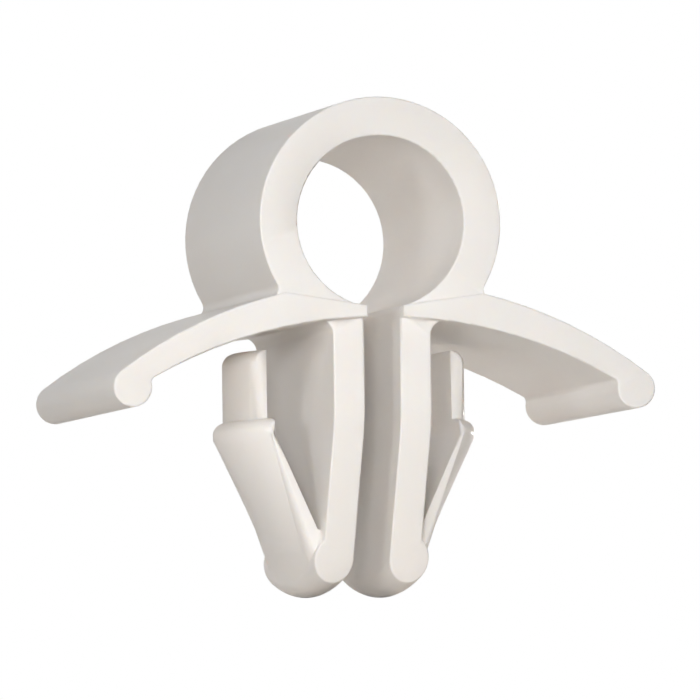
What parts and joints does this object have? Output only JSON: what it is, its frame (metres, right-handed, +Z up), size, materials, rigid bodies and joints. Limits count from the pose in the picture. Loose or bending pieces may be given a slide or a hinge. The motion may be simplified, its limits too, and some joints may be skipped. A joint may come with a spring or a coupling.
{
  "type": "wire routing clip",
  "caption": "Moulded nylon push-in wire clip: a slit wire loop on arched spring wings with beaded tips, above a split stem whose barbs snap into a round panel hole.",
  "frame": {"origin": "on the stem's axis, at the top face of the panel, where the wings' beads bear", "axes": "+Z up the stem towards the wire loop, Y along the wire, X across the spring wings"},
  "size_m": [0.0184, 0.0102, 0.0162],
  "materials": {
    "natural_nylon": "satin natural nylon, as moulded"
  },
  "bodies": {
    "root": {"clip_body": "natural_nylon"}
  },
  "joints": []
}
